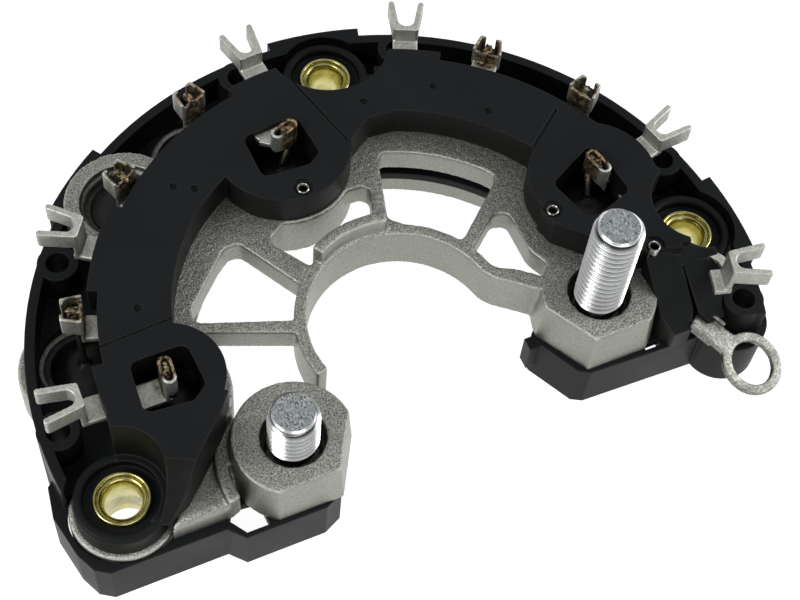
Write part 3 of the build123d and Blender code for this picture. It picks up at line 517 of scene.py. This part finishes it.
def tinned(name, dull=0.0):
    """Tinned copper with painted highlights on the edges and painted shade on the sides, burnt
    brown and olive round the soldered leads.
    """
    t = Tree(name)
    grain = t.noise(0.5, rough=0.65)
    smear = t.noise(2.6, seed=4.0)
    tone = t.cover(TIN_DARK, TIN_LIGHT, grain, 0.3, 0.75)
    tone = t.cover(tone, TIN_SMEAR, smear, 0.5, 0.8, 0.45)
    # Painted highlights along the edges
    tone = t.mix(t.edge(0.25, 0.8), tone, TIN_EDGE_HIGHLIGHT)
    tone = t.mix(dull, tone, WIRE_DULL)
    patch = t.noise(0.8, rough=0.7, seed=6.0)
    hue = t.noise(1.6, detail=2.0, seed=17.0)
    burnt_tone = t.cover(BURNT_COPPER, BURNT_OLIVE, hue, 0.44, 0.56)
    burnt_tone = t.cover(BURNT_SOOT, burnt_tone, patch, 0.45, 0.60)
    burnt = t.near([place for place, _, _ in SOLDER.values()], BURNT_R, BURNT_FADE_R)
    high = t.ramp(t.height(), BURNT_LOW_Z * MM, BURNT_FULL_Z * MM)
    tone = t.mix(t.math("MULTIPLY", burnt, high), tone, burnt_tone)
    # The sides are painted darker as shade
    tone = t.cover(tone, TIN_SIDE_SHADE, t.facing_up(), 1.0, 0.0, 0.48)
    normal = t.bump(grain, 0.07, 0.7, t.rounded(0.2))
    return t.surface(tone, t.ramp(smear, 0.3, 0.7, 0.38, 0.54), 0.80, normal)


def worn_terminal():
    """Tinned copper like the strips, greyer and more worn, with painted highlights on the edges and
    painted shade on the sides.
    """
    t = Tree("tinned_ring_terminal")
    grain = t.noise(0.36, rough=0.65)
    smear = t.noise(2.0, seed=8.0)
    tone = t.cover(RING_DARK, RING_LIGHT, grain, 0.38, 0.62)
    tone = t.cover(tone, RING_SMEAR, smear, 0.45, 0.7, 0.6)
    # Painted highlights along the edges
    tone = t.mix(t.edge(0.25, 0.5), tone, RING_EDGE_HIGHLIGHT)
    # The sides are painted darker as shade
    tone = t.cover(tone, TIN_SIDE_SHADE, t.facing_up(), 1.0, 0.0, 0.40)
    normal = t.bump(grain, 0.05, 0.6, t.rounded(0.2))
    return t.surface(tone, t.ramp(smear, 0.3, 0.7, 0.42, 0.56), 1.0, normal)


MATERIALS = {
    "cast_aluminium": cast_aluminium(),
    "black_moulding": black_moulding(),
    "brass_bush": brass(),
    "zinc_plated_steel": zinc(),
    "rivet_steel": rivet_metal(),
    "diode_cup_metal": cup_metal(),
    "diode_potting": potting(),
    "tinned_wire": tinned("tinned_wire", dull=0.93),
    "tinned_strip": tinned("tinned_strip"),
}
ring_metal = worn_terminal()
slot_of = {row["node"]: row["material_slot"] for row in frame["record"]["subparts"]}


def paint(obj, material):
    obj.data.materials.clear()
    obj.data.materials.append(material)


for name, obj in nodes.items():
    paint(obj, MATERIALS[slot_of[name]])
paint(nodes["ring_terminal"], ring_metal)


# Pieces that stand for CAD nodes
def add_object(name, data):
    """A new object in the scene."""
    obj = bpy.data.objects.new(name, data)
    bpy.context.scene.collection.objects.link(obj)
    return obj


def object_from(bm, name):
    """A smooth-shaded object made from an editable mesh, which is freed."""
    for face in bm.faces:
        face.smooth = True
    mesh = bpy.data.meshes.new(name)
    bm.to_mesh(mesh)
    bm.free()
    return add_object(name, mesh)


def around(centre, radius, turn, z):
    """The point at a radius and an angle in radians about a centre, at a height."""
    return (centre[0] + radius * math.cos(turn), centre[1] + radius * math.sin(turn), z)


def circle(centre, radius, z, steps):
    """Points evenly round a circle, at a height."""
    return [around(centre, radius, 2 * math.pi * i / steps, z) for i in range(steps)]


def join_rings(bm, low, high):
    """A band of faces between two closed rings of vertices."""
    for i in range(len(low)):
        j = (i + 1) % len(low)
        bm.faces.new((low[i], low[j], high[j], high[i]))


def skin_over(rows):
    """An editable mesh skinned over closed rows of points, and the rows of its vertices."""
    bm = bmesh.new()
    made = [[bm.verts.new(Vector(p) * MM) for p in row] for row in rows]
    for low, high in zip(made[:-1], made[1:]):
        join_rings(bm, low, high)
    return bm, made


def threaded_stud(name, centre, end_z, start):
    """A right-hand thread swept along its helix, over a plain neck and under a chamfered end."""
    depth = STUD_R - STUD_ROOT_R
    pilot_z = end_z - STUD_PILOT
    chamfer = STUD_PILOT_R - STUD_END_R
    turns = int((pilot_z - start) / THREAD_PITCH) + 2
    bm = bmesh.new()
    strip = []
    for step in range(turns * THREAD_STEPS + 1):
        turn = 2 * math.pi * step / THREAD_STEPS
        made = []
        for phase, share in THREAD_SHAPE:
            z = start + (step / THREAD_STEPS - 1.0 + phase) * THREAD_PITCH
            z = min(pilot_z, max(start, z))
            radius = STUD_R - depth * share
            radius = min(radius, STUD_NECK_R + (z - start) * THREAD_RUN_IN)
            radius = min(radius, STUD_PILOT_R + (pilot_z - z) * THREAD_RUN_OUT)
            made.append(bm.verts.new(around(centre, radius, turn, z)))
        strip.append(made)
    last = len(THREAD_SHAPE) - 1
    for s in range(len(strip) - 1):
        here, beside = strip[s], strip[s + 1]
        for j in range(last):
            bm.faces.new((here[j], beside[j], beside[j + 1], here[j + 1]))
        if s + THREAD_STEPS + 1 < len(strip):
            above, beyond = strip[s + THREAD_STEPS], strip[s + THREAD_STEPS + 1]
            bm.faces.new((here[last], beside[last], beyond[0], above[0]))

    def ring(radius, z):
        return [bm.verts.new(point) for point in circle(centre, radius, z, THREAD_STEPS)]

    foot = ring(STUD_NECK_R, STUD_FOOT_Z)
    neck = ring(STUD_NECK_R, start)
    bm.faces.new(list(reversed(foot)))
    join_rings(bm, foot, neck)
    pilot = [
        ring(STUD_PILOT_R, pilot_z),
        ring(STUD_PILOT_R, end_z - chamfer),
        ring(STUD_END_R, end_z),
        ring(STUD_END_R * DISH_RIM_SHARE, end_z),
        ring(STUD_END_R * DISH_FLOOR_SHARE, end_z - DISH_DEPTH),
    ]
    for low, high in zip(pilot[:-1], pilot[1:]):
        join_rings(bm, low, high)
    bm.faces.new(pilot[-1])
    for vert in bm.verts:
        vert.co *= MM
    bmesh.ops.remove_doubles(bm, verts=bm.verts, dist=THREAD_WELD)
    bmesh.ops.dissolve_degenerate(bm, edges=bm.edges, dist=WELD)
    obj = object_from(bm, name + "_thread")
    obj.data.set_sharp_from_angle(angle=math.radians(THREAD_SHARP_ANGLE))
    paint(obj, MATERIALS["zinc_plated_steel"])
    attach(obj, "root")
    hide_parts(name)


for name, (centre, end_z, start) in STUDS.items():
    threaded_stud(name, centre, end_z, start)


def resin_dome(name, centre, low, seed):
    """A slightly uneven crowned pour, drawn up around the lead."""
    random.seed(seed)
    lean = random.uniform(0, 2 * math.pi)
    rows = []
    for radius, rise in POUR_PROFILE:
        row = []
        for i in range(POUR_STEPS):
            turn = 2 * math.pi * i / POUR_STEPS
            wobble = POUR_LEAN * math.sin(turn + lean)
            wobble += POUR_RIPPLE * math.sin(POUR_RIPPLES * turn + seed)
            row.append(around(centre, radius, turn, low + rise + wobble * min(1.0, rise)))
        rows.append(row)
    bottom = [(x, y, low - POUR_DEPTH) for x, y, _ in rows[0]]
    bm, made = skin_over([bottom] + rows)
    bm.faces.new(list(reversed(made[0])))
    bm.faces.new(made[-1])
    obj = object_from(bm, name + "_pour")
    paint(obj, MATERIALS["diode_potting"])
    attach(obj, "root")
    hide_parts(name)


for side, (places, rim_z, first_seed) in POURS.items():
    for index, (key, centre) in enumerate(sorted(places.items())):
        resin_dome(side + "_diode_" + key + "_potting", centre, rim_z, first_seed + index)


def lathed(name, centre, profile, slot):
    """A turned piece: the closed outline, as radius and height, spun about the centre."""
    rows = [circle(centre, radius, z, TURNED_STEPS) for radius, z in profile + profile[:1]]
    bm, _ = skin_over(rows)
    bmesh.ops.remove_doubles(bm, verts=bm.verts, dist=WELD)
    bmesh.ops.recalc_face_normals(bm, faces=bm.faces)
    obj = object_from(bm, name + "_turned")
    obj.data.set_sharp_from_angle(angle=math.radians(TURNED_SHARP_ANGLE))
    paint(obj, MATERIALS[slot])
    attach(obj, "root")
    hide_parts(name)


for key, centre in BUSHES.items():
    lathed("mounting_bush_" + key, centre, BUSH_PROFILE, "brass_bush")
for key, centre in RIVETS.items():
    lathed("carrier_rivet_" + key, centre, RIVET_PROFILE, "rivet_steel")


def soldered_lead(name, place, turn, reach):
    """A diode lead with an uneven lump of solder where it stands in its crimp."""
    bm = bmesh.new()
    bm.from_mesh(nodes[name].data)
    lump = bmesh.ops.create_icosphere(bm, subdivisions=4, radius=1.0)["verts"]
    spin = Matrix.Rotation(math.radians(turn), 3, "Z")
    middle = Vector((place[0], place[1], LEAD_TOP_Z - SOLDER_DROP))
    seed = Vector((place[0], place[1], SOLDER_SEED))
    for vert in lump:
        way = vert.co.copy()
        swell = 1.0 + SOLDER_SWELL * noise.noise(way * SOLDER_SWELL_FINENESS + seed)
        swell += SOLDER_CRUMPLE * noise.noise(way * SOLDER_CRUMPLE_FINENESS + seed)
        shape = Vector((way.x * reach, way.y * SOLDER_HALF_WIDTH, way.z * SOLDER_HALF_HEIGHT))
        vert.co = (spin @ (shape * swell) + middle) * MM
    obj = object_from(bm, name + "_soldered")
    paint(obj, MATERIALS["tinned_wire"])
    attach(obj, "root")
    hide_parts(name)


for name, (place, turn, reach) in SOLDER.items():
    soldered_lead(name, place, turn, reach)


def add_slot_bottom(mesh, angle):
    """Rounds out the bottom of a fork's slot, between its wall and its two prongs."""
    centre = FORK_WALL_R + FORK_THICKNESS / 2 + FORK_SLOT_DEPTH
    outline = [(FORK_WALL_R, FORK_FILLING_HALF), (centre, FORK_FILLING_HALF)]
    for step in range(FORK_SLOT_STEPS + 1):
        a = math.radians(90.0 + 180.0 * step / FORK_SLOT_STEPS)
        outline.append((centre + FORK_SLOT_DEPTH * math.cos(a), FORK_SLOT_HALF * math.sin(a)))
    outline += [(centre, -FORK_FILLING_HALF), (FORK_WALL_R, -FORK_FILLING_HALF)]
    spin = Matrix.Rotation(math.radians(angle), 3, "Z")
    bm = bmesh.new()
    bm.from_mesh(mesh)
    low = [bm.verts.new(spin @ Vector((x, y, FORK_LOW_Z)) * MM) for x, y in outline]
    high = [bm.verts.new(spin @ Vector((x, y, FORK_HIGH_Z)) * MM) for x, y in outline]
    bm.faces.new(low)
    bm.faces.new(list(reversed(high)))
    join_rings(bm, high, low)
    bm.to_mesh(mesh)
    bm.free()


def cast_skin(name, voxel_mm, smooth_steps, share):
    """A copy of a CAD node whose edges and inner corners are rounded as by casting or stamping."""
    mesh = nodes[name].data.copy()
    for angle in FORKS.get(name, ()):
        add_slot_bottom(mesh, angle)
    obj = add_object(name + "_cast", mesh)
    remesh = obj.modifiers.new("skin", "REMESH")
    remesh.mode = "VOXEL"
    remesh.voxel_size = voxel_mm * MM
    remesh.use_smooth_shade = True
    smooth = obj.modifiers.new("smooth", "SMOOTH")
    smooth.factor = SMOOTH_FACTOR
    smooth.iterations = smooth_steps
    thin = obj.modifiers.new("thin", "DECIMATE")
    thin.ratio = share
    view = bpy.context.evaluated_depsgraph_get()
    skin = bpy.data.meshes.new_from_object(obj.evaluated_get(view))
    obj.modifiers.clear()
    obj.data = skin
    for polygon in skin.polygons:
        polygon.use_smooth = True
    paint(obj, ring_metal if name == "ring_terminal" else MATERIALS[slot_of[name]])
    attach(obj, "root")
    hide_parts(name)


for name, skin in CAST_SKINS.items():
    cast_skin(name, *skin)
for name in [*FORKS, "ring_terminal"]:
    cast_skin(name, *STAMPED_SKIN)


# Camera at the photograph's angle. The image is taken to be 800 x 600.
IMAGE_WIDTH = 800.0
SENSOR_WIDTH = 36.0
FOCAL_PX = 1654.73
ELEVATION = math.radians(58.81)
ROLL = math.radians(7.25)
DISTANCE = 273.87
LOOK_AT = Vector((-0.94, 9.96, 0.0))
TURN = Matrix.Rotation(math.radians(-30.3), 3, "Z")
LIFT = Vector((0.0, 0.0, 6.2))
CLIP_NEAR_M = 0.01
CLIP_FAR_M = 10.0

back = Vector((0.0, -math.cos(ELEVATION), math.sin(ELEVATION)))
right = Vector((1.0, 0.0, 0.0))
up = Vector((0.0, math.sin(ELEVATION), math.cos(ELEVATION)))
rolled_right = math.cos(ROLL) * right + math.sin(ROLL) * up
rolled_up = -math.sin(ROLL) * right + math.cos(ROLL) * up
position = (TURN @ (LOOK_AT + DISTANCE * back) + LIFT) * MM
columns = [TURN @ rolled_right, TURN @ rolled_up, TURN @ back, position]
camera_data = bpy.data.cameras.new("camera")
camera_data.sensor_width = SENSOR_WIDTH
camera_data.lens = FOCAL_PX * SENSOR_WIDTH / IMAGE_WIDTH
camera_data.clip_start = CLIP_NEAR_M
camera_data.clip_end = CLIP_FAR_M
rows = [[column[axis] for column in columns] for axis in range(3)]
camera = add_object("camera", camera_data)
camera.matrix_world = Matrix([*rows, [0.0, 0.0, 0.0, 1.0]])
bpy.context.scene.camera = camera


# Floor, world and lights
FLOOR_HALF_M = 20.0
FLOOR_TONE = (0.30, 0.30, 0.30, 1.0)
FLOOR_ROUGHNESS = 0.9
FLOOR_GLOW = 0.96
WORLD_STRENGTH = 0.42
WHITE = (1.0, 1.0, 1.0, 1.0)


def floor_white():
    """A floor that shines white enough to leave no shadow on it."""
    material = bpy.data.materials.new("floor")
    material.use_nodes = True
    shader = material.node_tree.nodes["Principled BSDF"]
    shader.inputs["Base Color"].default_value = FLOOR_TONE
    shader.inputs["Roughness"].default_value = FLOOR_ROUGHNESS
    shader.inputs["Emission Color"].default_value = WHITE
    shader.inputs["Emission Strength"].default_value = FLOOR_GLOW
    return material


sides = [(-1, -1), (1, -1), (1, 1), (-1, 1)]
corners = [(x * FLOOR_HALF_M, y * FLOOR_HALF_M, 0) for x, y in sides]
floor_mesh = bpy.data.meshes.new("floor")
floor_mesh.from_pydata(corners, [], [(0, 1, 2, 3)])
floor = add_object("floor", floor_mesh)
paint(floor, floor_white())

world = bpy.data.worlds.new("studio")
bpy.context.scene.world = world
world.use_nodes = True
background = world.node_tree.nodes["Background"]
background.inputs["Color"].default_value = WHITE
background.inputs["Strength"].default_value = WORLD_STRENGTH


def area_light(name, place_mm, target_mm, size_mm, power):
    """A rectangular light, wide and high as its size says, turned towards its target."""
    data = bpy.data.lights.new(name, "AREA")
    data.shape = "RECTANGLE"
    data.size = size_mm[0] * MM
    data.size_y = size_mm[1] * MM
    data.energy = power
    light = add_object(name, data)
    light.location = Vector(place_mm) * MM
    aim = Vector(target_mm) - Vector(place_mm)
    light.rotation_mode = "QUATERNION"
    light.rotation_quaternion = aim.to_track_quat("-Z", "Y")


area_light("key_light", (-460, -60, 330), target_mm=(0, 10, 10), size_mm=(260, 260), power=1.2)
area_light("fill_light", (430, -90, 260), target_mm=(0, 10, 10), size_mm=(240, 240), power=0.9)
area_light("front_light", (-40, -480, 220), target_mm=(0, 0, 10), size_mm=(420, 160), power=0.4)

scene = bpy.context.scene
scene.view_settings.view_transform = "Standard"
scene.view_settings.look = "None"
scene.view_settings.exposure = 0.0
